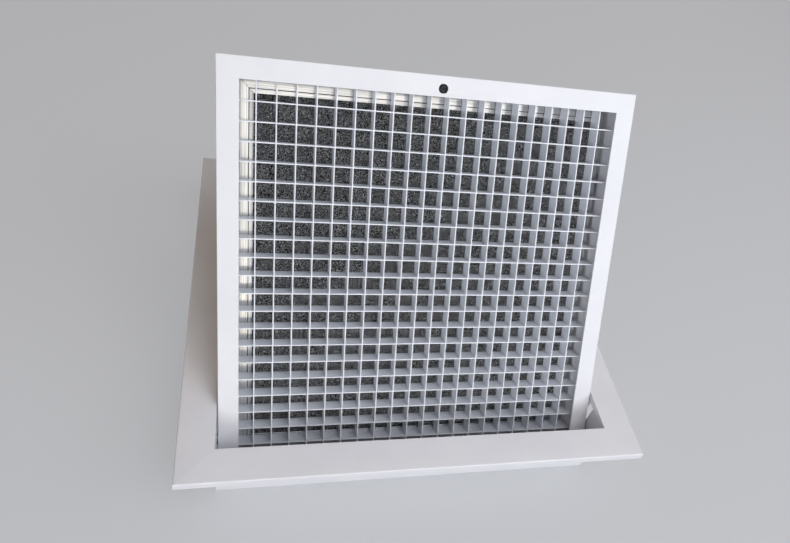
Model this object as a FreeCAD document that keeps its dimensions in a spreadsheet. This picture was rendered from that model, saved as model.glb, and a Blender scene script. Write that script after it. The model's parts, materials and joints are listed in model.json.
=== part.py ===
import FreeCAD, Part
import Sketcher
import os

# Eggcrate return air grille with a hinged filter door, in millimetres.
# The grille lies on the rear edge of its neck with its face up and the door swung open.
# X runs across the grille, Y from the hinge side to the latch side, and Z out of the face.
# The origin is the centre of the neck's rear edge.

doc = FreeCAD.newDocument("return_air_grille")
sheet = doc.addObject("Spreadsheet::Sheet", "Size")

driving_sizes = [
    # Outer frame, with depths measured back from its face
    ("opening", 298.3),
    ("flange", 25.0),
    ("flange_skin", 1.3),
    ("lip_depth", 5.9),
    ("neck_wall", 1.2),
    ("neck_depth", 60.0),
    ("lip_radius", 1.0),
    # Key channel behind the flange
    ("channel_inset", 4.0),
    ("channel_rib", 1.0),
    ("channel_width", 13.0),
    ("channel_hook", 2.0),
    ("key_skin", 1.4),
    ("key_play", 0.1),
    ("key_arm", 38.0),
    # Screw holes in the neck for fixing it to the duct
    ("duct_hole", 4.2),
    ("duct_hole_depth", 45.0),
    ("duct_hole_spacing", 150.0),
    # Door frame
    ("door_gap", 0.9),
    ("hinge_gap", 3.0),
    ("door_flange", 14.15),
    ("flange_overhang", 1.5),
    ("door_skin", 1.3),
    ("door_lip", 3.0),
    ("door_edge_radius", 0.6),
    ("box_wall", 1.2),
    ("box_cavity", 5.8),
    ("box_depth", 15.2),
    ("door_key", 5.0),
    ("door_key_arm", 30.0),
    # Tail of the door frame, which stands round the filter
    ("tail_step", 0.9),
    ("tail_overhang", 1.9),
    # Eggcrate core
    ("pitch", 13.0),
    ("blade_skin", 0.8),
    ("core_setback", 5.1),
    ("core_depth", 13.0),
    ("core_web", 0.8),
    ("core_play", 0.05),
    # Filter
    ("filter_side_play", 2.3),
    ("filter_end_play", 1.25),
    ("filter_depth", 8.0),
    ("filter_skin", 1.0),
    ("filter_flat", 5.75),
    ("groove_width", 0.7),
    ("groove_depth", 0.5),
    ("filter_bevel", 2.6),
    ("bevel_drop", 0.8),
    ("media_play", 0.3),
    # Filter clips
    ("clip_skin", 0.8),
    ("clip_width", 12.0),
    ("clip_leg", 7.0),
    ("clip_reach", 7.25),
    ("clip_spacing", 160.0),
    # Hinge pins and the slots that they ride in
    ("open_angle", 57.92),
    ("pin_inset", 22.1),
    ("pin_depth", 10.22),
    ("pin_travel", 22.0),
    ("pin_shank", 4.0),
    ("pin_fit", 0.05),
    ("pin_collar", 6.0),
    ("pin_head", 9.0),
    ("pin_head_skin", 2.0),
    ("pin_tail", 5.2),
    ("pin_tail_skin", 1.3),
    ("pin_end_play", 0.15),
    ("pin_head_gap", 0.3),
    ("slot_play", 0.5),
    ("slot_top_gap", 1.0),
    ("slot_end_gap", 0.3),
    # Latch
    ("latch_inset", 8.7),
    ("latch_hole", 6.8),
    ("spindle", 5.0),
    ("spindle_setback", 0.5),
    ("spindle_neck", 4.4),
    ("spindle_fit", 0.05),
    ("spindle_square", 3.0),
    ("spindle_rivet", 5.0),
    ("rivet_skin", 0.9),
    ("driver_slot", 1.1),
    ("driver_slot_depth", 1.6),
    ("tongue_skin", 1.6),
    ("tongue_width", 7.0),
    ("tongue_reach", 12.7),
    ("tongue_gap", 0.3),
    ("window_gap", 1.2),
]

for row, (alias, size) in enumerate(driving_sizes, start=1):
    sheet.set("A%d" % row, alias)
    sheet.set("B%d" % row, str(size))
    sheet.setAlias("B%d" % row, alias)
doc.recompute()


def measure(expression):
    return float(sheet.evalExpression(expression))


def total(*terms):
    return " + ".join("(%s)" % term for term in terms)


# Sizes that several pieces share, worked out from the driving sizes
door_width = "(Size.opening - 2 * Size.door_gap)"
door_height = "(Size.opening - Size.door_gap - Size.hinge_gap)"
door_centre_y = "((Size.hinge_gap - Size.door_gap) / 2)"
wall_face = "(Size.door_flange - Size.flange_overhang)"
box_inset = "(%s - 2 * Size.box_wall - Size.box_cavity)" % wall_face
tail_face = "(%s - Size.tail_step)" % wall_face
tail_inset = "(%s - Size.box_wall)" % tail_face
channel_end = "(Size.channel_inset + 2 * Size.channel_rib + Size.channel_width)"
key_width = "(Size.channel_width - 2 * Size.key_play)"
filter_front = "(Size.core_setback + Size.core_depth)"
filter_back = "(%s + Size.filter_depth)" % filter_front
tail_depth = "(%s + Size.tail_overhang)" % filter_back
filter_border = "(Size.filter_flat + Size.groove_width + Size.filter_bevel)"
seen_width = "(%s - 2 * Size.door_flange)" % door_width
seen_height = "(%s - 2 * Size.door_flange)" % door_height
inner_width = "(%s - 2 * %s)" % (door_width, wall_face)
inner_height = "(%s - 2 * %s)" % (door_height, wall_face)
strip_depth = "(Size.core_depth - Size.core_web)"
pin_y = "(Size.hinge_gap + Size.pin_inset - Size.opening / 2)"
pin_z_closed = "(Size.neck_depth - Size.pin_depth)"
pin_z_open = "(%s - Size.pin_travel)" % pin_z_closed
stile_side = "(%s / 2 - %s)" % (door_width, box_inset)
tongue_front = "(Size.box_depth + Size.tongue_gap)"
tongue_back = "(%s + Size.tongue_skin)" % tongue_front
latch_y = "(%s / 2 - Size.latch_inset)" % door_height
# Half the width that the turning tongue needs where it crosses the neck's inner face
tongue_sweep = ("sqrt(Size.tongue_reach ^ 2 + (Size.tongue_width / 2) ^ 2"
                " - (Size.latch_inset + Size.door_gap) ^ 2)")


def place(item, expression):
    item.setExpression("Placement", expression)


def at(x, y, z, turn="0"):
    return ("placement(vector(%s; %s; %s); rotation(vector(0; 0; 1); %s))"
            % (x, y, z, turn))


# The open door turns about the pins after they have slid to the deep end of their slots
door_pose = doc.addObject("App::Placement", "DoorPose")
place(door_pose,
      "placement(vector(0; %s; %s); rotation(vector(1; 0; 0); Size.open_angle))"
      " * placement(vector(0; -%s; -%s); rotation(vector(1; 0; 0); 0))"
      % (pin_y, pin_z_open, pin_y, pin_z_closed))

in_frame = at("0", "0", "Size.neck_depth")
in_door = "DoorPose.Placement * " + at("0", door_centre_y, "Size.neck_depth")


def new_body(name):
    body = doc.addObject("PartDesign::Body", name)
    body.Label = name
    return body


def new_sketch(body, role, name):
    plane = [item for item in body.Origin.OriginFeatures if item.Role == role][0]
    sketch = body.newObject("Sketcher::SketchObject", name)
    sketch.AttachmentSupport = (plane, "")
    sketch.MapMode = "FlatFace"
    return sketch


def hold(sketch, kind, line, point, expression):
    if expression == "0":
        axis = -2 if kind == "DistanceX" else -1
        sketch.addConstraint(Sketcher.Constraint("PointOnObject", line, point, axis))
        return
    constraint = Sketcher.Constraint(kind, -1, 1, line, point, measure(expression))
    index = sketch.addConstraint(constraint)
    sketch.setExpression("Constraints[%d]" % index, expression)


def draw_outline(sketch, corners):
    # Each corner is a pair of expressions, held at its distances from the sketch's origin
    spots = [FreeCAD.Vector(measure(x), measure(y), 0) for x, y in corners]
    first = sketch.GeometryCount
    for number, start in enumerate(spots):
        end = spots[(number + 1) % len(spots)]
        sketch.addGeometry(Part.LineSegment(start, end), False)
    for number, (x, y) in enumerate(corners):
        line = first + number
        previous = first + (number - 1) % len(corners)
        sketch.addConstraint(Sketcher.Constraint("Coincident", previous, 2, line, 1))
        hold(sketch, "DistanceX", line, 1, x)
        hold(sketch, "DistanceY", line, 1, y)


def draw_rectangle(sketch, x_low, x_high, y_low, y_high):
    draw_outline(sketch, [(x_low, y_low), (x_high, y_low), (x_high, y_high), (x_low, y_high)])


def draw_circle(sketch, x, y, diameter):
    centre = FreeCAD.Vector(measure(x), measure(y), 0)
    up = FreeCAD.Vector(0, 0, 1)
    circle = sketch.addGeometry(Part.Circle(centre, up, measure(diameter) / 2), False)
    index = sketch.addConstraint(Sketcher.Constraint("Diameter", circle, measure(diameter)))
    sketch.setExpression("Constraints[%d]" % index, diameter)
    hold(sketch, "DistanceX", circle, 3, x)
    hold(sketch, "DistanceY", circle, 3, y)


def pad(body, sketch, length, name, symmetric=True):
    feature = body.newObject("PartDesign::Pad", name)
    feature.Profile = sketch
    feature.SideType = "Symmetric" if symmetric else "One side"
    feature.setExpression("Length", length)
    return feature


def pocket(body, sketch, name, length=None):
    feature = body.newObject("PartDesign::Pocket", name)
    feature.Profile = sketch
    if length is None:
        feature.Type = "ThroughAll"
    else:
        feature.setExpression("Length", length)
    return feature


def mitred_member(name, section, length, reach):
    # The section is drawn on Y and Z, with Y inward from the frame's outer edge.
    # Both ends are then cut at 45 degrees, seen from the face.
    body = new_body(name)
    profile = new_sketch(body, "YZ_Plane", name + "_section")
    draw_outline(profile, section)
    pad(body, profile, length, name + "_extrusion")
    mitre = new_sketch(body, "XY_Plane", name + "_mitre")
    for sign in ("", "-"):
        end = "%s%s / 2" % (sign, length)
        inner = "%s(%s / 2 - %s)" % (sign, length, reach)
        draw_outline(mitre, [(end, "0"), (end, reach), (inner, reach)])
    pocket(body, mitre, name + "_mitre_cut")
    return body


def frame_sides(width, height):
    # Side name, length of the member, the middle of its outer edge and its turn about Z
    return [
        ("bottom", width, "0", "-%s / 2" % height, "0"),
        ("right", height, "%s / 2" % width, "0", "90"),
        ("top", width, "0", "%s / 2" % height, "180"),
        ("left", height, "-%s / 2" % width, "0", "270"),
    ]


def round_face_edge(body, feature, radius, name):
    # Rounds the long edge between the face and the outer side
    doc.recompute()
    edges = []
    for number, edge in enumerate(feature.Shape.Edges, start=1):
        ends = [vertex.Point for vertex in edge.Vertexes]
        if all(abs(point.y) < 1e-6 and abs(point.z) < 1e-6 for point in ends):
            edges.append("Edge%d" % number)
    rounding = body.newObject("PartDesign::Fillet", name)
    rounding.Base = (feature, edges)
    rounding.setExpression("Radius", radius)
    return rounding


# Outer frame: flange, outer lip, key channel and neck wall in one section
frame_width = "(Size.opening + 2 * Size.flange)"
neck_outer = "(Size.flange - Size.neck_wall)"
rib_back = "-(Size.flange_skin + Size.key_skin + 2 * Size.key_play + Size.channel_rib)"
hook_front = "-(Size.flange_skin + Size.key_skin + 2 * Size.key_play)"
channel_start = "(Size.channel_inset + Size.channel_rib)"
channel_stop = "(%s + Size.channel_width)" % channel_start

frame_section = [
    ("0", "0"),
    ("Size.flange", "0"),
    ("Size.flange", "-Size.neck_depth"),
    (neck_outer, "-Size.neck_depth"),
    (neck_outer, "-Size.flange_skin"),
    (channel_end, "-Size.flange_skin"),
    (channel_end, rib_back),
    ("%s - Size.channel_hook" % channel_stop, rib_back),
    ("%s - Size.channel_hook" % channel_stop, hook_front),
    (channel_stop, hook_front),
    (channel_stop, "-Size.flange_skin"),
    (channel_start, "-Size.flange_skin"),
    (channel_start, hook_front),
    ("%s + Size.channel_hook" % channel_start, hook_front),
    ("%s + Size.channel_hook" % channel_start, rib_back),
    ("Size.channel_inset", rib_back),
    ("Size.channel_inset", "-Size.flange_skin"),
    ("Size.flange_skin", "-Size.flange_skin"),
    ("Size.flange_skin", "-Size.lip_depth"),
    ("0", "-Size.lip_depth"),
]

slot_half = "(Size.pin_collar / 2 + Size.slot_play)"
slot_front = "(Size.pin_depth - Size.pin_collar / 2 - Size.slot_top_gap)"
slot_back = "(Size.pin_depth + Size.pin_travel + Size.pin_collar / 2 + Size.slot_end_gap)"
window_half = "(%s + Size.window_gap)" % tongue_sweep


def cut_pin_slot(body, side):
    # Slot for the sliding hinge pin, and two holes for the duct screws
    hand = "" if side == "right" else "-"
    centre = "%s%s" % (hand, pin_y)
    cuts = new_sketch(body, "XZ_Plane", body.Name + "_cuts")
    draw_rectangle(cuts, total(centre, "-" + slot_half), total(centre, slot_half),
                   "-" + slot_back, "-" + slot_front)
    for sign in ("-", ""):
        draw_circle(cuts, "%sSize.duct_hole_spacing / 2" % sign, "-Size.duct_hole_depth",
                    "Size.duct_hole")
    pocket(body, cuts, body.Name + "_slot_and_holes")


def cut_latch_window(body):
    window = new_sketch(body, "XZ_Plane", body.Name + "_window")
    draw_rectangle(window, "-" + window_half, window_half,
                   "-(%s + Size.window_gap)" % tongue_back,
                   "-(%s - Size.window_gap)" % tongue_front)
    pocket(body, window, body.Name + "_window_cut")


nodes = []

for side, length, x, y, turn in frame_sides(frame_width, frame_width):
    member = mitred_member("outer_frame_" + side, frame_section, length, "Size.flange")
    if side in ("left", "right"):
        cut_pin_slot(member, side)
    if side == "top":
        cut_latch_window(member)
    doc.recompute()
    round_face_edge(member, member.Tip, "Size.lip_radius", member.Name + "_rounding")
    place(member, in_frame + " * " + at(x, y, "0", turn))
    nodes.append(member)


def corner_keys(name, width, height, inset, band, arm, front, depth, carrier):
    # Four flat L-shaped keys that join the mitred members at their corners
    keys = []
    corners = [("left_bottom", "-", "-", "0"), ("right_bottom", "", "-", "90"),
               ("right_top", "", "", "180"), ("left_top", "-", "", "270")]
    for corner, x_sign, y_sign, turn in corners:
        body = new_body("%s_%s" % (name, corner))
        outline = new_sketch(body, "XY_Plane", body.Name + "_outline")
        inside = total(inset, band)
        end = total(inset, arm)
        draw_outline(outline, [(inset, inset), (end, inset), (end, inside),
                               (inside, inside), (inside, end), (inset, end)])
        pad(body, outline, depth, body.Name + "_plate", symmetric=False)
        place(body, "%s * %s" % (carrier, at("%s%s / 2" % (x_sign, width),
                                             "%s%s / 2" % (y_sign, height),
                                             "-(%s + %s)" % (front, depth), turn)))
        keys.append(body)
    group = doc.addObject("Part::Compound", name)
    group.Label = name
    group.Links = keys
    return group


nodes.append(corner_keys("outer_corner_keys", frame_width, frame_width,
                         "(%s + Size.key_play)" % channel_start, key_width, "Size.key_arm",
                         "(Size.flange_skin + Size.key_play)", "Size.key_skin", in_frame))

# Door frame: flange and box in front, and a tail behind that stands round the filter
box_back = "-Size.box_depth"
box_floor = "-(Size.box_depth - Size.box_wall)"

door_section = [
    ("0", "0"),
    ("Size.door_flange", "0"),
    ("Size.door_flange", "-Size.door_skin"),
    (wall_face, "-Size.door_skin"),
    (wall_face, box_back),
    (tail_face, box_back),
    (tail_face, "-" + tail_depth),
    (tail_inset, "-" + tail_depth),
    (tail_inset, box_back),
    (box_inset, box_back),
    (box_inset, "-Size.door_skin"),
    ("Size.door_skin", "-Size.door_skin"),
    ("Size.door_skin", "-Size.door_lip"),
    ("0", "-Size.door_lip"),
]


def hollow_box(body, length):
    # The box of the section is an open channel along the whole member
    cavity = new_sketch(body, "YZ_Plane", body.Name + "_cavity")
    draw_rectangle(cavity, total(box_inset, "Size.box_wall"),
                   total(box_inset, "Size.box_wall", "Size.box_cavity"),
                   box_floor, "-Size.door_skin")
    hole = pocket(body, cavity, body.Name + "_hollow", length)
    hole.SideType = "Symmetric"


def drill_pin_hole(body, side):
    hand = "" if side == "right" else "-"
    along = "%s(Size.pin_inset - %s / 2)" % (hand, door_height)
    hole = new_sketch(body, "XZ_Plane", body.Name + "_pin_hole")
    draw_circle(hole, along, "-Size.pin_depth", "(Size.pin_shank + 2 * Size.pin_fit)")
    pocket(body, hole, body.Name + "_pin_hole_cut",
           total(box_inset, "Size.box_wall", "Size.box_cavity / 2"))


def cut_latch_seat(body):
    # Clear hole in the flange, bearing hole in the back of the box, and a window in the tail
    front = new_sketch(body, "XY_Plane", body.Name + "_latch_hole")
    draw_circle(front, "0", "Size.latch_inset", "Size.latch_hole")
    pocket(body, front, body.Name + "_latch_hole_cut", "Size.door_skin")
    bearing = new_sketch(body, "XY_Plane", body.Name + "_bearing")
    draw_circle(bearing, "0", "Size.latch_inset",
                "(Size.spindle_neck + 2 * Size.spindle_fit)")
    pocket(body, bearing, body.Name + "_bearing_cut", "Size.box_depth")
    window = new_sketch(body, "XZ_Plane", body.Name + "_tail_window")
    half = "(sqrt(Size.tongue_reach ^ 2 + (Size.tongue_width / 2) ^ 2) + Size.window_gap)"
    draw_rectangle(window, "-" + half, half,
                   "-(%s + Size.rivet_skin + Size.window_gap)" % tongue_back, box_back)
    pocket(body, window, body.Name + "_tail_window_cut")


for side, length, x, y, turn in frame_sides(door_width, door_height):
    member = mitred_member("door_frame_" + side, door_section, length, "Size.door_flange")
    hollow_box(member, length)
    if side in ("left", "right"):
        drill_pin_hole(member, side)
    if side == "top":
        cut_latch_seat(member)
    doc.recompute()
    round_face_edge(member, member.Tip, "Size.door_edge_radius", member.Name + "_rounding")
    place(member, in_door + " * " + at(x, y, "0", turn))
    nodes.append(member)

nodes.append(corner_keys("door_corner_keys", door_width, door_height,
                         "(%s + Size.box_wall + Size.key_play)" % box_inset,
                         "(Size.box_cavity - 2 * Size.key_play)", "Size.door_key_arm",
                         "(Size.door_skin + Size.key_play)", "Size.door_key", in_door))

# Eggcrate core: plain upright strips pressed into slots in the cross blades
upright_count = int(measure(seen_width) // measure("Size.pitch"))
cross_count = int(measure(seen_height) // measure("Size.pitch"))
slot_width = "(Size.blade_skin + 2 * Size.core_play)"


def upright_blade(number):
    body = new_body("upright_blade_%02d" % number)
    outline = new_sketch(body, "XY_Plane", body.Name + "_outline")
    draw_rectangle(outline, "-Size.blade_skin / 2", "Size.blade_skin / 2",
                   "-(%s / 2 - Size.core_play)" % inner_height,
                   "(%s / 2 - Size.core_play)" % inner_height)
    pad(body, outline, strip_depth, body.Name + "_strip", symmetric=False)
    x = "(%d - %d / 2) * Size.pitch" % (number - 1, upright_count - 1)
    place(body, "%s * %s" % (in_door, at(x, "0", "-(Size.core_setback + %s)" % strip_depth)))
    return body


def cross_blade(number):
    # The blade is drawn on X and Z, with its front edge on the X axis
    body = new_body("cross_blade_%02d" % number)
    outline = new_sketch(body, "XZ_Plane", body.Name + "_outline")
    half = "(%s / 2 - Size.core_play)" % inner_width
    draw_rectangle(outline, "-" + half, half, "-Size.core_depth", "0")
    pad(body, outline, "Size.blade_skin", body.Name + "_strip")
    notch = new_sketch(body, "XZ_Plane", body.Name + "_slot")
    first = "(1 - %d) / 2 * Size.pitch" % upright_count
    draw_rectangle(notch, total(first, "-%s / 2" % slot_width),
                   total(first, "%s / 2" % slot_width), "-" + strip_depth, "0")
    cut = pocket(body, notch, body.Name + "_slot_cut")
    cut.SideType = "Symmetric"
    row = body.newObject("PartDesign::LinearPattern", body.Name + "_slots")
    row.Originals = [cut]
    row.Direction = (notch, ["H_Axis"])
    row.Mode = "Spacing"
    row.setExpression("Offset", "Size.pitch")
    row.Occurrences = upright_count
    body.Tip = row
    y = "%s / 2 - %d * Size.pitch" % (seen_height, cross_count + 1 - number)
    place(body, "%s * %s" % (in_door, at("0", y, "-Size.core_setback")))
    return body


for number in range(1, upright_count + 1):
    nodes.append(upright_blade(number))
for number in range(1, cross_count + 1):
    nodes.append(cross_blade(number))

# Filter: a mitred channel frame around a pad of filter media
filter_width = "(%s - 2 * (%s + Size.filter_side_play))" % (door_width, tail_face)
filter_height = "(%s - 2 * (%s + Size.filter_end_play))" % (door_height, tail_face)
bevel_start = "(Size.filter_flat + Size.groove_width)"

filter_section = [
    ("0", "0"),
    ("Size.filter_flat", "0"),
    ("Size.filter_flat", "-Size.groove_depth"),
    (bevel_start, "-Size.groove_depth"),
    (bevel_start, "0"),
    (filter_border, "-Size.bevel_drop"),
    (filter_border, "-(Size.bevel_drop + Size.filter_skin)"),
    (bevel_start, "-Size.filter_skin"),
    ("Size.filter_skin", "-Size.filter_skin"),
    ("Size.filter_skin", "-(Size.filter_depth - Size.filter_skin)"),
    (filter_border, "-(Size.filter_depth - Size.filter_skin)"),
    (filter_border, "-Size.filter_depth"),
    ("0", "-Size.filter_depth"),
]

in_filter = in_door + " * " + at("0", "0", "-" + filter_front)
for side, length, x, y, turn in frame_sides(filter_width, filter_height):
    member = mitred_member("filter_frame_" + side, filter_section, length, filter_border)
    place(member, in_filter + " * " + at(x, y, "0", turn))
    nodes.append(member)

media = doc.addObject("Part::Box", "filter_media")
media.Label = "filter_media"
media_inset = "(Size.filter_skin + Size.media_play)"
media_back = "(Size.filter_depth - Size.filter_skin - Size.media_play)"
media_front = "(Size.bevel_drop + Size.filter_skin + Size.media_play)"
media_width = "(%s - 2 * %s)" % (filter_width, media_inset)
media_height = "(%s - 2 * %s)" % (filter_height, media_inset)
media.setExpression("Length", media_width)
media.setExpression("Width", media_height)
media.setExpression("Height", "%s - %s" % (media_back, media_front))
place(media, "%s * %s" % (in_filter, at("-%s / 2" % media_width, "-%s / 2" % media_height,
                                        "-" + media_back)))
nodes.append(media)

# Spring clips folded over the tail's rear edge, with a foot on the back of the filter frame
clip_outside = "(%s - Size.clip_skin)" % tail_inset
clip_end = "(%s + Size.clip_reach)" % tail_inset
clip_back = "-(%s + Size.clip_skin)" % tail_depth
clip_front = "-(%s - Size.clip_leg)" % tail_depth
clip_section = [
    (clip_outside, clip_front),
    (clip_outside, clip_back),
    (clip_end, clip_back),
    (clip_end, "-" + filter_back),
    ("%s - Size.clip_skin" % clip_end, "-" + filter_back),
    ("%s - Size.clip_skin" % clip_end, "-" + tail_depth),
    (tail_inset, "-" + tail_depth),
    (tail_inset, clip_front),
]

clips = []
for side, length, x, y, turn in frame_sides(door_width, door_height):
    if side not in ("left", "right"):
        continue
    for end, sign in (("low", "-"), ("high", "")):
        clip = new_body("filter_clip_%s_%s" % (side, end))
        profile = new_sketch(clip, "YZ_Plane", clip.Name + "_section")
        draw_outline(profile, clip_section)
        pad(clip, profile, "Size.clip_width", clip.Name + "_strip")
        place(clip, "%s * %s" % (in_door, at(x, "%sSize.clip_spacing / 2" % sign, "0", turn)))
        clips.append(clip)
clip_group = doc.addObject("Part::Compound", "filter_clips")
clip_group.Label = "filter_clips"
clip_group.Links = clips
nodes.append(clip_group)

# Hinge pins: shoulder rivets that turn in the stiles and slide in the neck's slots
neck_side = "(Size.opening / 2 + Size.neck_wall)"
collar_end = "(%s - %s + Size.pin_head_gap)" % (neck_side, stile_side)
tail_start = "-(Size.box_wall + Size.pin_end_play)"
pin_section = [
    ("%s - Size.pin_tail_skin" % tail_start, "0"),
    ("%s - Size.pin_tail_skin" % tail_start, "Size.pin_tail / 2"),
    (tail_start, "Size.pin_tail / 2"),
    (tail_start, "Size.pin_shank / 2"),
    ("Size.pin_end_play", "Size.pin_shank / 2"),
    ("Size.pin_end_play", "Size.pin_collar / 2"),
    (collar_end, "Size.pin_collar / 2"),
    (collar_end, "Size.pin_head / 2"),
    ("%s + Size.pin_head_skin" % collar_end, "Size.pin_head / 2"),
    ("%s + Size.pin_head_skin" % collar_end, "0"),
]

for side, sign, turn in (("left", "-", "180"), ("right", "", "0")):
    pin = new_body("hinge_pin_" + side)
    profile = new_sketch(pin, "XZ_Plane", pin.Name + "_profile")
    draw_outline(profile, pin_section)
    turned = pin.newObject("PartDesign::Revolution", pin.Name + "_turned")
    turned.Profile = profile
    turned.ReferenceAxis = (profile, ["H_Axis"])
    turned.Angle = 360
    place(pin, at("%s%s" % (sign, stile_side), pin_y, pin_z_open, turn))
    nodes.append(pin)

# Quarter-turn latch: a slotted spindle in the top rail and a tongue riveted to its end
in_latch = in_door + " * " + at("0", latch_y, "0")
spindle = new_body("latch_spindle")
profile = new_sketch(spindle, "XZ_Plane", "spindle_profile")
shoulder = "-(Size.box_depth - Size.box_wall - Size.spindle_fit)"
draw_outline(profile, [
    ("0", "-Size.spindle_setback"),
    ("Size.spindle / 2", "-Size.spindle_setback"),
    ("Size.spindle / 2", shoulder),
    ("Size.spindle_neck / 2", shoulder),
    ("Size.spindle_neck / 2", "-" + tongue_front),
    ("0", "-" + tongue_front),
])
turned = spindle.newObject("PartDesign::Revolution", "spindle_turned")
turned.Profile = profile
turned.ReferenceAxis = (profile, ["V_Axis"])
turned.Angle = 360
square = new_sketch(spindle, "XY_Plane", "spindle_square")
square_half = "Size.spindle_square / 2"
draw_rectangle(square, "-" + square_half, square_half, "-" + square_half, square_half)
square.setExpression("AttachmentOffset.Base.z", "-(%s + Size.spindle_fit)" % tongue_back)
pad(spindle, square, total("Size.tongue_skin", "Size.spindle_fit"), "spindle_square_pad",
    symmetric=False)
rivet = new_sketch(spindle, "XY_Plane", "spindle_rivet")
draw_circle(rivet, "0", "0", "Size.spindle_rivet")
rivet.setExpression("AttachmentOffset.Base.z",
                    "-(%s + Size.spindle_fit + Size.rivet_skin)" % tongue_back)
pad(spindle, rivet, "Size.rivet_skin", "spindle_rivet_pad", symmetric=False)
driver = new_sketch(spindle, "XY_Plane", "spindle_driver_slot")
draw_rectangle(driver, "-Size.spindle / 2", "Size.spindle / 2",
               "-Size.driver_slot / 2", "Size.driver_slot / 2")
pocket(spindle, driver, "spindle_driver_slot_cut",
       total("Size.spindle_setback", "Size.driver_slot_depth"))
place(spindle, in_latch)
nodes.append(spindle)

tongue_bar = doc.addObject("Part::Box", "tongue_bar")
tongue_bar.setExpression("Length", "Size.tongue_reach")
tongue_bar.setExpression("Width", "Size.tongue_width")
tongue_bar.setExpression("Height", "Size.tongue_skin")
tongue_bar.setExpression("Placement.Base.y", "-Size.tongue_width / 2")
tongue_eye = doc.addObject("Part::Cylinder", "tongue_eye")
tongue_eye.setExpression("Radius", "Size.tongue_width / 2")
tongue_eye.setExpression("Height", "Size.tongue_skin")
tongue_blank = doc.addObject("Part::Fuse", "tongue_blank")
tongue_blank.Base = tongue_bar
tongue_blank.Tool = tongue_eye
tongue_blank.Refine = True
eye_square = "(Size.spindle_square + 2 * Size.spindle_fit)"
tongue_hole = doc.addObject("Part::Box", "tongue_hole")
tongue_hole.setExpression("Length", eye_square)
tongue_hole.setExpression("Width", eye_square)
tongue_hole.setExpression("Height", "Size.tongue_skin")
tongue_hole.setExpression("Placement.Base.x", "-%s / 2" % eye_square)
tongue_hole.setExpression("Placement.Base.y", "-%s / 2" % eye_square)
tongue = doc.addObject("Part::Cut", "latch_tongue")
tongue.Label = "latch_tongue"
tongue.Base = tongue_blank
tongue.Tool = tongue_hole
place(tongue, in_latch + " * " + at("0", "0", "-" + tongue_back))
nodes.append(tongue)

# Build everything, refuse a failed object, and write one file for each sub-part
doc.recompute()
for item in doc.Objects:
    if "Invalid" in item.State or "Error" in item.State:
        raise RuntimeError("%s failed: %s" % (item.Label, item.State))
for node in nodes:
    if node.Shape.isNull() or not node.Shape.isValid():
        raise RuntimeError("%s has no valid shape" % node.Label)

os.makedirs("parts", exist_ok=True)
for node in nodes:
    node.Shape.exportStep("parts/%s.step" % node.Label)
    print("%s: %d solid, %.0f mm3" % (node.Label, len(node.Shape.Solids), node.Shape.Volume))
print("%d nodes" % len(nodes))
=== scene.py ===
import json
import math

import bmesh
import bpy
from mathutils import Euler, Matrix, Vector, noise


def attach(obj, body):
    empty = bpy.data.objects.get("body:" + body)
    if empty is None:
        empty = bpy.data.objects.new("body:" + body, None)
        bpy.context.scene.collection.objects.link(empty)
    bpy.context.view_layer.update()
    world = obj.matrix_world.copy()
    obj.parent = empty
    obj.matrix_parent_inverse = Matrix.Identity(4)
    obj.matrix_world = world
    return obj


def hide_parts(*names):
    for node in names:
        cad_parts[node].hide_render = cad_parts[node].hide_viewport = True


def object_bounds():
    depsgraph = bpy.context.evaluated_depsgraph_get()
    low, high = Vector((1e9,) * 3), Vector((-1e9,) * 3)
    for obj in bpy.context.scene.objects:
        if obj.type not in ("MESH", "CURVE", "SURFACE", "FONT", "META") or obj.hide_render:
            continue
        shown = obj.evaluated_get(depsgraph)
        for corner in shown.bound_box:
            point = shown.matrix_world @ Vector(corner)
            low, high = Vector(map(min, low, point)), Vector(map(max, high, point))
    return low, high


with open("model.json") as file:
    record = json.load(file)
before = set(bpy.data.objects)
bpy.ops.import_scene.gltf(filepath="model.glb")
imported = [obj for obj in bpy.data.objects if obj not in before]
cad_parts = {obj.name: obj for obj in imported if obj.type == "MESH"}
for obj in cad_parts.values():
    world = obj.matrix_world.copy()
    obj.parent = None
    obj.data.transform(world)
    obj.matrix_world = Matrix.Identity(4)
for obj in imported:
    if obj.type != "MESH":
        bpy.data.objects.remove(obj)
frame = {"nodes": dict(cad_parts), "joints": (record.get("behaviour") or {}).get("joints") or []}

cadLow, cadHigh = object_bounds()
mm = 0.001


# Small helpers

def toLinear(hexColour):
    # sRGB hex to the linear values that Blender works in
    channels = [int(hexColour[i:i + 2], 16) / 255 for i in (1, 3, 5)]
    linear = [c / 12.92 if c <= 0.04045 else ((c + 0.055) / 1.055) ** 2.4 for c in channels]
    return (*linear, 1.0)


def addNode(tree, kind, links=None, **settings):
    # links maps an input's name or number to a value or to another node's output
    node = tree.nodes.new(kind)
    for setting, value in settings.items():
        setattr(node, setting, value)
    for socket, value in (links or {}).items():
        if isinstance(value, bpy.types.NodeSocket):
            tree.links.new(value, node.inputs[socket])
        else:
            node.inputs[socket].default_value = value
    return node


def blankMaterial(name):
    material = bpy.data.materials.new(name)
    material.use_nodes = True
    material.node_tree.nodes.clear()
    return material, material.node_tree


def setRamp(ramp, stops):
    # stops are two or more pairs of a place from 0 to 1 and an sRGB hex colour
    elements = ramp.color_ramp.elements
    while len(elements) < len(stops):
        elements.new(0.5)
    for element, (place, colour) in zip(elements, stops):
        element.position = place
        element.color = toLinear(colour)


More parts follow.
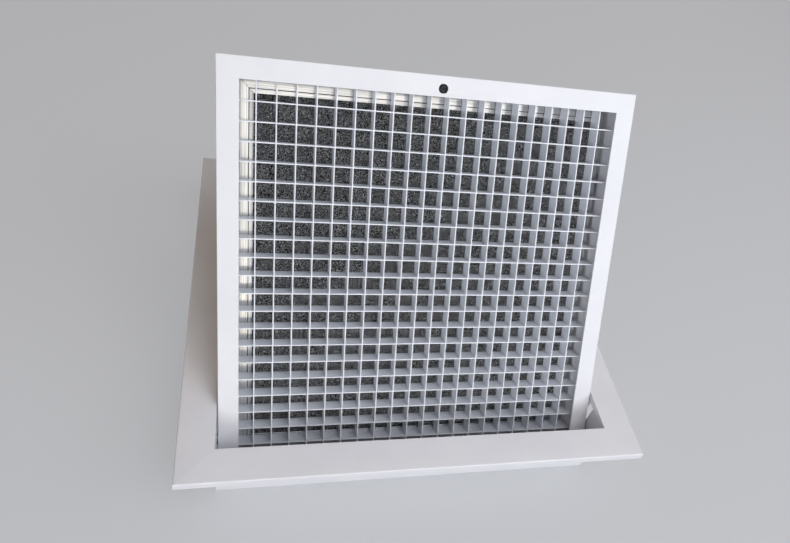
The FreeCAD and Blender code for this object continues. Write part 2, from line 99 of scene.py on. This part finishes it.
def newPiece(name, bm, material, body, node, smoothAngle=32):
    # A mesh object that moves with body and stands in for node, smooth below smoothAngle degrees
    mesh = bpy.data.meshes.new(name)
    bm.to_mesh(mesh)
    bm.free()
    mesh.shade_smooth()
    mesh.set_sharp_from_angle(angle=math.radians(smoothAngle))
    mesh.materials.append(material)
    piece = bpy.data.objects.new(name, mesh)
    bpy.context.scene.collection.objects.link(piece)
    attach(piece, body)
    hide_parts(node)
    return piece


# Where the door stands: turned about the hinge pins from its closed place

hinge = {
    "pinY": -124.05 * mm,      # the pins' line on the closed door
    "pinDepth": 10.22 * mm,    # and how far it lies behind the door's face
    "doorCentreY": 1.05 * mm,  # the door's middle, nearer to the latch than the frame's middle is
}
swing = next(joint for joint in frame["joints"] if joint["name"] == "door_swing")
openAngle = math.radians(-swing["range_deg"][0])
# doorPlace takes a point of the closed door, with z = 0 on its face, to its place in the open door
doorPlace = (Matrix.Translation(swing["pos_m"]) @ Matrix.Rotation(openAngle, 4, "X")
             @ Matrix.Translation((0, -hinge["pinY"], hinge["pinDepth"])))
atRest = Matrix.Identity(4)


# Camera, at the photograph's viewing angle

cameraView = {
    "place": (-122.63 * mm, -382.46 * mm, 481.94 * mm),
    "turn": (43.1305, -11.7352, -10.111),  # degrees about X, Y and Z
    "sensor": 36,
    "lens": 29.682,
    "shift": (-0.05157, 0.02320),
    "nearest": 10 * mm,
}
camera = bpy.data.objects.new("camera", bpy.data.cameras.new("camera"))
bpy.context.scene.collection.objects.link(camera)
turned = Euler([math.radians(angle) for angle in cameraView["turn"]]).to_matrix().to_4x4()
camera.matrix_world = Matrix.Translation(cameraView["place"]) @ turned
camera.data.sensor_width = cameraView["sensor"]
camera.data.lens = cameraView["lens"]
camera.data.shift_x, camera.data.shift_y = cameraView["shift"]
camera.data.clip_start = cameraView["nearest"]
bpy.context.scene.camera = camera
bpy.context.scene.view_settings.view_transform = "Standard"
print("camera placed")


# Floor, world and lamps

studio = {
    "floor": "#CBCDD1",
    "floorSeen": "#CACCD0",
    "floorShare": 0.55,        # how much of the seen floor is its plain colour and not its shading
    "floorHalfSide": 4,
    "floorGap": 0.2 * mm,      # between the floor and the outer frame's rear edge
    "horizon": "#B9BCC0",      # what the camera and the metal see beyond the floor
    "behind": "#FFD0A2",       # the dim warm room behind the door
    "behindStrength": 0.18,
    "behindFade": (-0.8, 0.8),  # from dark in front to full strength behind, as directions along Y
    # Each lamp: place, width and height, watts and colour. All of them aim at the grille.
    "lamps": {
        "frontPanel": ((0, -1.5, 1.08), (2.0, 1.2), 9.4, "#FFF8ED"),
        "topSoftbox": ((0.4, -0.8, 1.62), (1.0, 1.0), 7.8, "#F5F8FF"),
        "rightSoftbox": ((1.14, -1.07, 1.1), (1.0, 1.0), 6.1, "#EFF5FF"),
        "sideSoftbox": ((1.45, -0.65, 0.92), (0.9, 0.9), 5.8, "#E8F1FF"),
        "lowSoftbox": ((-0.9, -1.5, 0.5), (0.8, 0.6), 7.0, "#F1F6FF"),
        "footSoftbox": ((0.8, -1.3, 0.4), (0.8, 0.5), 1.6, "#F1F6FF"),
        "stripSoftbox": ((-0.08, -1.5, 0.42), (0.5, 0.32), 0.54, "#FFF3DC"),
        "rearSoftbox": ((0.7, 1.5, 0.9), (1.2, 0.8), 3.4, "#FFF4E8"),
    },
    "aim": (0, 0, 0.13),
}


def seenDirectly(tree):
    # One for what the camera sees, straight or by way of metal or glass, and nought for other light
    path = addNode(tree, "ShaderNodeLightPath")
    seen = path.outputs["Is Camera Ray"]
    for kind in ("Is Glossy Ray", "Is Transmission Ray"):
        seen = addNode(tree, "ShaderNodeMath", {0: seen, 1: path.outputs[kind]},
                       operation="MAXIMUM").outputs["Value"]
    return seen


def mattFloor():
    # Matt paper floor: no gloss. What the camera sees of it is lifted towards its own plain
    # colour, so that it stays pale and even, and it keeps the shadow.
    material, tree = blankMaterial("mattPaper")
    paper = addNode(tree, "ShaderNodeBsdfPrincipled", {"Base Color": toLinear(studio["floor"]),
                                                       "Roughness": 0.95, "Specular IOR Level": 0.05})
    plain = addNode(tree, "ShaderNodeEmission", {"Color": toLinear(studio["floorSeen"])})
    share = addNode(tree, "ShaderNodeMath", {0: seenDirectly(tree), 1: studio["floorShare"]},
                    operation="MULTIPLY")
    mixed = addNode(tree, "ShaderNodeMixShader", {0: share.outputs["Value"], 1: paper.outputs["BSDF"],
                                                  2: plain.outputs["Emission"]})
    addNode(tree, "ShaderNodeOutputMaterial", {"Surface": mixed.outputs["Shader"]})
    return material


def makeFloor():
    bm = bmesh.new()
    bmesh.ops.create_grid(bm, x_segments=1, y_segments=1, size=studio["floorHalfSide"])
    mesh = bpy.data.meshes.new("floor")
    bm.to_mesh(mesh)
    bm.free()
    mesh.materials.append(mattFloor())
    floor = bpy.data.objects.new("floor", mesh)
    bpy.context.scene.collection.objects.link(floor)
    floor.location.z = cadLow[2] - studio["floorGap"]


def makeWorld():
    # As light it is dark in front, where most of the lamps stand, and dim and warm behind. The
    # camera and the metal see a plain pale background in its place.
    world = bpy.data.worlds.new("studio")
    bpy.context.scene.world = world
    world.use_nodes = True
    tree = world.node_tree
    background = tree.nodes["Background"]
    background.inputs["Color"].default_value = toLinear(studio["behind"])
    direction = addNode(tree, "ShaderNodeTexCoord").outputs["Generated"]
    parts = addNode(tree, "ShaderNodeSeparateXYZ", {"Vector": direction})
    dark, full = studio["behindFade"]
    share = addNode(tree, "ShaderNodeMapRange", {"Value": parts.outputs["Y"], "From Min": dark,
                                                 "From Max": full, "To Max": studio["behindStrength"]})
    tree.links.new(share.outputs["Result"], background.inputs["Strength"])
    horizon = addNode(tree, "ShaderNodeBackground", {"Color": toLinear(studio["horizon"])})
    both = addNode(tree, "ShaderNodeMixShader", {0: seenDirectly(tree),
                                                 1: background.outputs["Background"],
                                                 2: horizon.outputs["Background"]})
    tree.links.new(both.outputs["Shader"], tree.nodes["World Output"].inputs["Surface"])


def addLamp(name, place, size, power, colour):
    lamp = bpy.data.lights.new(name, "AREA")
    lamp.shape = "RECTANGLE"
    lamp.size, lamp.size_y = size
    lamp.energy = power
    lamp.color = toLinear(colour)[:3]
    holder = bpy.data.objects.new(name, lamp)
    bpy.context.scene.collection.objects.link(holder)
    holder.location = place
    holder.rotation_euler = (Vector(studio["aim"]) - Vector(place)).to_track_quat("-Z", "Y").to_euler()


makeFloor()
makeWorld()
for lampName, lampValues in studio["lamps"].items():
    addLamp(lampName, *lampValues)
print("floor and lamps placed")


# Materials

def powderCoat():
    # Polyester powder coat on extruded aluminium: satin white, hardly uneven in tone over 45 mm, with
    # a faint orange peel 1.6 mm wide and a fine grain of 0.4 mm that breaks up the gloss
    material, tree = blankMaterial("powderCoat")
    coords = addNode(tree, "ShaderNodeTexCoord").outputs["Object"]
    cloud = addNode(tree, "ShaderNodeTexNoise", {"Vector": coords, "Scale": 1 / (45 * mm), "Detail": 3})
    tint = addNode(tree, "ShaderNodeValToRGB", {"Fac": cloud.outputs["Fac"]})
    setRamp(tint, [(0.3, "#E7E8ED"), (0.7, "#EDEEF2")])
    peel = addNode(tree, "ShaderNodeTexNoise", {"Vector": coords, "Scale": 1 / (1.61 * mm), "Detail": 2})
    grain = addNode(tree, "ShaderNodeTexNoise", {"Vector": coords, "Scale": 1 / (0.417 * mm), "Detail": 1})
    rough = addNode(tree, "ShaderNodeMapRange", {"Value": grain.outputs["Fac"],
                                                 "To Min": 0.31, "To Max": 0.43})
    bump = addNode(tree, "ShaderNodeBump", {"Height": peel.outputs["Fac"], "Strength": 0.25,
                                            "Distance": 0.03 * mm})
    surface = addNode(tree, "ShaderNodeBsdfPrincipled", {"Base Color": tint.outputs["Color"],
                                                         "Roughness": rough.outputs["Result"],
                                                         "Normal": bump.outputs["Normal"]})
    addNode(tree, "ShaderNodeOutputMaterial", {"Surface": surface.outputs["BSDF"]})
    return material


def drawnStock(name, stops, roughness, metallic, lineWidth, relief):
    # Stock that was rolled or drawn: fine lines run along it, lineWidth apart and some 65 times as
    # long as that, read from the piece's own UV map, which is in metres
    material, tree = blankMaterial(name)
    coords = addNode(tree, "ShaderNodeUVMap", uv_map="alongPiece").outputs["UV"]
    stretched = addNode(tree, "ShaderNodeMapping", {"Vector": coords, "Scale": (0.015, 1, 1)})
    streak = addNode(tree, "ShaderNodeTexNoise", {"Vector": stretched.outputs["Vector"],
                                                  "Scale": 1 / lineWidth, "Detail": 3})
    tint = addNode(tree, "ShaderNodeValToRGB", {"Fac": streak.outputs["Fac"]})
    setRamp(tint, stops)
    spread = 0.08
    rough = addNode(tree, "ShaderNodeMapRange", {"Value": streak.outputs["Fac"],
                                                 "To Min": roughness + spread,
                                                 "To Max": roughness - spread})
    bump = addNode(tree, "ShaderNodeBump", {"Height": streak.outputs["Fac"], "Strength": 0.4,
                                            "Distance": relief})
    surface = addNode(tree, "ShaderNodeBsdfPrincipled", {"Base Color": tint.outputs["Color"],
                                                         "Metallic": metallic,
                                                         "Roughness": rough.outputs["Result"],
                                                         "Normal": bump.outputs["Normal"]})
    addNode(tree, "ShaderNodeOutputMaterial", {"Surface": surface.outputs["BSDF"]})
    return material


def platedSteel(name, light, dark, roughness, crystal):
    # Plated or blackened steel: small crystals, crystal wide, and worn lighter in soft patches about
    # 4 mm wide
    material, tree = blankMaterial(name)
    coords = addNode(tree, "ShaderNodeTexCoord").outputs["Object"]
    grains = addNode(tree, "ShaderNodeTexVoronoi", {"Vector": coords, "Scale": 1 / crystal})
    patches = addNode(tree, "ShaderNodeTexNoise", {"Vector": coords, "Scale": 1 / (3.85 * mm),
                                                   "Detail": 4})
    blend = addNode(tree, "ShaderNodeMath", {0: grains.outputs["Distance"], 1: patches.outputs["Fac"]},
                    operation="MULTIPLY")
    tint = addNode(tree, "ShaderNodeValToRGB", {"Fac": blend.outputs["Value"]})
    setRamp(tint, [(0.05, dark), (0.4, light)])
    spread = 0.1
    rough = addNode(tree, "ShaderNodeMapRange", {"Value": patches.outputs["Fac"],
                                                 "To Min": roughness - spread,
                                                 "To Max": roughness + spread})
    bump = addNode(tree, "ShaderNodeBump", {"Height": grains.outputs["Distance"], "Strength": 0.3,
                                            "Distance": 0.03 * mm})
    surface = addNode(tree, "ShaderNodeBsdfPrincipled", {"Base Color": tint.outputs["Color"],
                                                         "Metallic": 1.0,
                                                         "Roughness": rough.outputs["Result"],
                                                         "Normal": bump.outputs["Normal"]})
    addNode(tree, "ShaderNodeOutputMaterial", {"Surface": surface.outputs["BSDF"]})
    return material


def nonWovenPad():
    # Non-woven polyester filter media, dyed charcoal: tangled fibres, with the light that they catch here
    # and there painted into their colour as near-white glints.
    # Each noise draws one layer of fibres, where its value crosses the middle. The fibres are 0.03 mm
    # thick, too fine to show, so they are drawn about 0.3 mm thick and 1.5 mm apart.
    material, tree = blankMaterial("nonWovenPolyester")
    coords = addNode(tree, "ShaderNodeTexCoord").outputs["Object"]
    # For each layer, how many fibres lie side by side in a metre and where its noise starts
    layers = ((580, (0, 0, 0)), (720, (3, 1, 2)), (880, (7, 5, 4)))
    fibresAndGlints = None
    for perMetre, start in layers:
        laid = addNode(tree, "ShaderNodeMapping", {"Vector": coords, "Location": start})
        layer = addNode(tree, "ShaderNodeTexNoise", {"Vector": laid.outputs["Vector"],
                                                     "Scale": perMetre, "Detail": 1})
        fibre = addNode(tree, "ShaderNodeMath", {0: layer.outputs["Fac"], 1: 0.5},
                        operation="PINGPONG").outputs["Value"]
        if fibresAndGlints:
            fibre = addNode(tree, "ShaderNodeMath", {0: fibresAndGlints, 1: fibre},
                            operation="MAXIMUM").outputs["Value"]
        fibresAndGlints = fibre
    tint = addNode(tree, "ShaderNodeValToRGB", {"Fac": fibresAndGlints})
    # The near-white end of this ramp is a painted highlight: the fibres' glints are drawn as colour on the
    # charcoal pad.
    setRamp(tint, [(0.46, "#08090A"), (0.487, "#222325"), (0.498, "#ECEDEE")])
    bump = addNode(tree, "ShaderNodeBump", {"Height": fibresAndGlints, "Strength": 0.7, "Distance": 0.5 * mm})
    surface = addNode(tree, "ShaderNodeBsdfPrincipled", {"Base Color": tint.outputs["Color"],
                                                         "Roughness": 0.9, "Specular IOR Level": 0.15,
                                                         "Normal": bump.outputs["Normal"]})
    addNode(tree, "ShaderNodeOutputMaterial", {"Surface": surface.outputs["BSDF"]})
    return material


coat = powderCoat()
# Coil-coated aluminium strip: whiter and glossier than the frames, with faint lines from rolling
coatedStrip = drawnStock("coilCoatedStrip", [(0.3, "#ECF0F7"), (0.7, "#F4F7FC")],
                         0.3, 0.0, 1.1 * mm, 0.02 * mm)
# Mill-finish aluminium channel: bright, with die lines that streak what it reflects
millAluminium = drawnStock("millAluminium", [(0.3, "#A4A5A7"), (0.55, "#C3C4C5"), (0.75, "#D6D6D4")],
                           0.19, 1.0, 0.7 * mm, 0.03 * mm)
# Spring strip, blued grey by its heat treatment
springStrip = drawnStock("springSteelStrip", [(0.3, "#8B8E93"), (0.7, "#ABAEB2")],
                         0.32, 1.0, 0.6 * mm, 0.02 * mm)
# Die-cut aluminium plate, dull from its protective oil
cutPlate = drawnStock("dieCutAluminium", [(0.3, "#B4B6B8"), (0.7, "#C6C8CA")],
                      0.42, 1.0, 1.0 * mm, 0.02 * mm)
# Bright zinc: pale, slightly blue, with fine crystals
zincPlate = platedSteel("brightZincPlate", "#C3C7CC", "#979BA1", 0.3, 0.5 * mm)
# Black oxide: dark, with a dull grey shine where fingers and drivers touch it
blackOxide = platedSteel("blackOxide", "#3A3B3D", "#191A1B", 0.42, 0.4 * mm)
padMaterial = nonWovenPad()
print("materials made")


# Softened copies of the part's own sections, strips and plates, with edges that catch the light

softened = {
    # for each kind, the edge width and how far a mitred end stands back from its neighbour
    "kinds": {
        "outerFrame": (0.6 * mm, 0),
        "doorFrame": (0.5 * mm, 0),
        "filterFrame": (0.35 * mm, 0.12 * mm),
        "blade": (0.06 * mm, 0),
        "plate": (0.25 * mm, 0),
    },
    "segments": 2,
    "mitreShare": 0.1,         # share of the edge width that the mitred ends get
    "merge": 0.002 * mm,
    "flatAngle": 0.6,          # degrees: triangles that bend less than this become one face
    "cornerAngle": 35,         # degrees: edges sharper than this are softened
    "near": 0.01 * mm,         # how close to a mitre or a depth a point counts as lying on it
    # The filter frame's front flange slopes in towards the pad. Its free edge, whose two corners lie
    # at these depths behind the door's face, is raised, so that the slope mirrors the room in front.
    "freeEdgeDepths": (18.9 * mm, 19.9 * mm),
    "freeEdgeRise": 0.55 * mm,
    "bladesEachWay": 20,
}


def raiseFreeEdge(bm):
    for vert in bm.verts:
        if any(abs(vert.co.z + depth) < softened["near"] for depth in softened["freeEdgeDepths"]):
            vert.co.z += softened["freeEdgeRise"]


def unwrapAlong(bm, along):
    # U runs along the stock, and V across it, on whichever of the other two axes the face spans
    uvs = bm.loops.layers.uv.new("alongPiece")
    for face in bm.faces:
        across = [axis for axis in range(3) if axis != along]
        across.sort(key=lambda axis: abs(face.normal[axis]))
        for loop in face.loops:
            loop[uvs].uv = (loop.vert.co[along], loop.vert.co[across[0]])


def softenedCopy(node, body, material, place, along, kind, mitre=None):
    # place takes the piece from where it lies flat, with the door closed, to where it stands at
    # rest. along is the axis that its stock was drawn along, and mitre gives a point's distance
    # from the nearest mitre.
    width, standBack = softened["kinds"][kind]
    cornerAngle = math.radians(softened["cornerAngle"])
    bm = bmesh.new()
    bm.from_mesh(frame["nodes"][node].data)
    bmesh.ops.remove_doubles(bm, verts=bm.verts, dist=softened["merge"])
    bmesh.ops.dissolve_limit(bm, angle_limit=math.radians(softened["flatAngle"]), verts=bm.verts,
                             edges=bm.edges)
    bmesh.ops.transform(bm, matrix=place.inverted(), verts=bm.verts)
    ends = {vert for vert in bm.verts if mitre and abs(mitre(vert.co)) < softened["near"]}
    weights = bm.edges.layers.float.new("bevel_weight_edge")
    for edge in bm.edges:
        if len(edge.link_faces) == 2 and edge.calc_face_angle_signed(0) > cornerAngle:
            edge[weights] = softened["mitreShare"] if ends.issuperset(edge.verts) else 1
    for vert in ends:
        vert.co[along] -= math.copysign(standBack, vert.co[along])
    if kind == "filterFrame":
        raiseFreeEdge(bm)
    unwrapAlong(bm, along)
    bmesh.ops.transform(bm, matrix=place, verts=bm.verts)
    piece = newPiece(node + "_soft", bm, material, body, node)
    bevel = piece.modifiers.new("softEdges", "BEVEL")
    bevel.limit_method = "WEIGHT"
    bevel.width = width
    bevel.segments = softened["segments"]
    bevel.harden_normals = True


def outerMitre(point):
    return abs(point.x) - abs(point.y)


def doorMitre(point):
    # The door's face is wider than it is high by twice as much as its middle stands off the frame's
    return abs(point.x) - abs(point.y - hinge["doorCentreY"]) - hinge["doorCentreY"]


def filterMitre(point):
    return abs(point.x) - abs(point.y - hinge["doorCentreY"])


for side, along in (("bottom", 0), ("right", 1), ("top", 0), ("left", 1)):
    softenedCopy("outer_frame_" + side, "frame", coat, atRest, along, "outerFrame",
                 outerMitre)
    softenedCopy("door_frame_" + side, "door", coat, doorPlace, along, "doorFrame", doorMitre)
    softenedCopy("filter_frame_" + side, "door", millAluminium, doorPlace, along,
                 "filterFrame", filterMitre)
for number in range(1, softened["bladesEachWay"] + 1):
    softenedCopy("upright_blade_%02d" % number, "door", coatedStrip, doorPlace, 1, "blade")
    softenedCopy("cross_blade_%02d" % number, "door", coatedStrip, doorPlace, 0, "blade")
softenedCopy("outer_corner_keys", "frame", cutPlate, atRest, 0, "plate")
softenedCopy("door_corner_keys", "door", cutPlate, doorPlace, 0, "plate")
softenedCopy("latch_tongue", "latch", springStrip, doorPlace, 1, "plate")
print("softened copies made")


# Filter pad: a springy sheet of tangled fibre, proud between its frame's edges and uneven all over

pad = {
    "halfSide": 132.9 * mm,
    "front": 20.2 * mm,        # depths behind the door's face
    "back": 24.8 * mm,
    "held": 8.2 * mm,          # how much of its border the channel holds flat
    "easing": 6 * mm,          # and over how much more it rises to its full height
    "cells": 110,
    "swell": 0.25 * mm,        # height and spacing of the slow waves
    "swellSpacing": 24 * mm,
    "tufts": 0.22 * mm,        # and of the tufts on them
    "tuftSpacing": 2.6 * mm,
    "smoothAngle": 60,
}


def makePad():
    bm = bmesh.new()
    middle = (pad["front"] + pad["back"]) / 2
    place = doorPlace @ Matrix.Translation((0, hinge["doorCentreY"], -middle))
    bmesh.ops.create_grid(bm, x_segments=pad["cells"], y_segments=pad["cells"], size=pad["halfSide"])
    bmesh.ops.solidify(bm, geom=bm.faces[:], thickness=pad["back"] - pad["front"])
    bm.normal_update()
    centre = sum(vert.co.z for vert in bm.verts) / len(bm.verts)
    for vert in bm.verts:
        level = vert.co.z - centre
        fromEdge = pad["halfSide"] - max(abs(vert.co.x), abs(vert.co.y))
        free = min(max((fromEdge - pad["held"]) / pad["easing"], 0), 1)
        tuft = noise.noise(Vector((vert.co.x, vert.co.y, level)) / pad["tuftSpacing"])
        wave = noise.noise(Vector((vert.co.x, vert.co.y, level)) / pad["swellSpacing"])
        lift = free * (pad["swell"] * (0.5 + 0.5 * wave) + pad["tufts"] * tuft)
        vert.co.z = level + math.copysign(lift, level)
    bmesh.ops.recalc_face_normals(bm, faces=bm.faces)
    bmesh.ops.transform(bm, matrix=place, verts=bm.verts)
    piece = newPiece("filterPad", bm, padMaterial, "door", "filter_media",
                     pad["smoothAngle"])


makePad()
print("filter pad made")


# Hinge pins: turned shoulder rivets with a domed head

pin = {
    "stileSide": 143.8 * mm,   # outer face of the door's box, where each pin starts
    # distance along the pin and radius, from the riveted tail inside the box to the head
    "profile": [(-2.65, 0), (-2.65, 1.8), (-2.35, 2.4), (-2.0, 2.6), (-1.35, 2.6), (-1.35, 2.0),
                (0.15, 2.0), (0.15, 2.8), (0.35, 3.0), (6.85, 3.0), (6.85, 4.3), (7.0, 4.5),
                (7.45, 4.5), (7.95, 4.2), (8.45, 3.4), (8.75, 2.1), (8.85, 0)],
    "facets": 40,
}
samePoint = 0.001 * mm         # points closer than this are one


def turnedPiece(outline, facets):
    # Spins an outline of (distance along the axis, radius) in millimetres about the X axis
    bm = bmesh.new()
    verts = [bm.verts.new((along * mm, radius * mm, 0)) for along, radius in outline]
    edges = [bm.edges.new(pair) for pair in zip(verts, verts[1:])]
    bmesh.ops.spin(bm, geom=verts + edges, axis=(1, 0, 0), cent=(0, 0, 0), steps=facets,
                   angle=math.tau, use_merge=True)
    bmesh.ops.remove_doubles(bm, verts=bm.verts, dist=samePoint)
    bmesh.ops.recalc_face_normals(bm, faces=bm.faces)
    return bm


def makePin(name, sign):
    # sign is 1 for the right side and -1 for the left
    bm = turnedPiece(pin["profile"], pin["facets"])
    turn = Matrix.Rotation(0 if sign > 0 else math.pi, 4, "Z")
    spot = Vector(swing["pos_m"]) + Vector((sign * pin["stileSide"], 0, 0))
    bmesh.ops.transform(bm, matrix=Matrix.Translation(spot) @ turn, verts=bm.verts)
    newPiece(name + "_turned", bm, zincPlate, "pivots", name)


makePin("hinge_pin_right", 1)
makePin("hinge_pin_left", -1)
print("hinge pins made")


# Latch spindle: a turned stud with a driver slot across its head, riveted to the tongue

spindle = {
    "fromCentre": 138.5 * mm,  # from the door's middle up to the spindle
    # depth behind the door's face and radius
    "profile": [(0.5, 0), (0.5, 2.2), (0.8, 2.5), (13.95, 2.5), (13.95, 2.2), (15.5, 2.2), (15.5, 1.5),
                (17.15, 1.5), (17.15, 2.5), (17.5, 2.4), (17.85, 1.9), (18.05, 0)],
    "facets": 48,
    "slotHalf": 0.55 * mm,
    "slotBottom": 2.1 * mm,    # also a depth behind the door's face
    "cutTolerance": 0.0001 * mm,
}


def makeSpindle():
    bm = turnedPiece(spindle["profile"], spindle["facets"])
    half, bottom = spindle["slotHalf"], spindle["slotBottom"]
    cuts = (((0, half, 0), (0, 1, 0)), ((0, -half, 0), (0, 1, 0)), ((bottom, 0, 0), (1, 0, 0)))
    for spot, normal in cuts:
        bmesh.ops.bisect_plane(bm, geom=bm.verts[:] + bm.edges[:] + bm.faces[:], plane_co=spot,
                               plane_no=normal, dist=spindle["cutTolerance"])
    inSlot = []
    for face in bm.faces:
        middle = face.calc_center_median()
        if abs(middle.y) < half and middle.x < bottom:
            inSlot.append(face)
    bmesh.ops.delete(bm, geom=inSlot, context="FACES")
    # The slot's bottom, then its two walls
    rim = [vert for vert in bm.verts if vert.is_boundary]
    bmesh.ops.contextual_create(bm, geom=[vert for vert in rim if abs(vert.co.x - bottom) < samePoint])
    for side in (half, -half):
        bmesh.ops.contextual_create(bm, geom=[vert for vert in rim if abs(vert.co.y - side) < samePoint])
    bmesh.ops.recalc_face_normals(bm, faces=bm.faces)
    place = (doorPlace @ Matrix.Translation((0, hinge["doorCentreY"] + spindle["fromCentre"], 0))
             @ Matrix.Rotation(math.pi / 2, 4, "Y"))
    bmesh.ops.transform(bm, matrix=place, verts=bm.verts)
    newPiece("latch_spindle_turned", bm, blackOxide, "latch", "latch_spindle")


makeSpindle()
print("latch spindle made")


# Spring clips: strip folded over the tail's rear edge, with a lead-in at the end of the leg

clip = {
    # distance from the door's middle and depth, along the middle of the strip
    "line": [(138.65, 21.1), (138.1, 22.4), (138.1, 28.4), (130.85, 28.4), (130.85, 26.15)],
    "bends": (2, 3),           # the line's points that are round bends
    "bendRadius": 0.8 * mm,
    "bendSegments": 4,
    "skin": 0.8 * mm,
    "width": 12 * mm,
    "spacing": 160 * mm,       # between the two clips of one side
    "edgeAngle": 50,           # degrees: edges sharper than this are softened, by the next width
    "edgeWidth": 0.12 * mm,
    "edgeSegments": 2,
}


def makeClips():
    bm = bmesh.new()
    for sign in (-1, 1):
        for end in (-1, 1):
            y = hinge["doorCentreY"] + end * clip["spacing"] / 2 - clip["width"] / 2
            verts = [bm.verts.new((sign * x * mm, y, -depth * mm)) for x, depth in clip["line"]]
            edges = [bm.edges.new(pair) for pair in zip(verts, verts[1:])]
            strip = bmesh.ops.extrude_edge_only(bm, edges=edges)["geom"]
            moved = [item for item in strip if isinstance(item, bmesh.types.BMVert)]
            bmesh.ops.translate(bm, vec=(0, clip["width"], 0), verts=moved)
            bends = [edge for number in clip["bends"] for edge in verts[number].link_edges
                     if edge.other_vert(verts[number]) in moved]
            bmesh.ops.bevel(bm, geom=bends, offset=clip["bendRadius"], affect="EDGES",
                            segments=clip["bendSegments"], profile=0.5, material=-1)
    bmesh.ops.recalc_face_normals(bm, faces=bm.faces)
    uvs = bm.loops.layers.uv.new("alongPiece")
    for face in bm.faces:
        for loop in face.loops:
            loop[uvs].uv = (loop.vert.co.x + loop.vert.co.z, loop.vert.co.y)
    bmesh.ops.transform(bm, matrix=doorPlace, verts=bm.verts)
    piece = newPiece("filterClips", bm, springStrip, "door", "filter_clips")
    wall = piece.modifiers.new("stripThickness", "SOLIDIFY")
    wall.thickness = clip["skin"]
    wall.offset = 0
    bevel = piece.modifiers.new("shearedEdges", "BEVEL")
    bevel.limit_method = "ANGLE"
    bevel.angle_limit = math.radians(clip["edgeAngle"])
    bevel.width = clip["edgeWidth"]
    bevel.segments = clip["edgeSegments"]
    bevel.harden_normals = True


makeClips()
print("filter clips made")
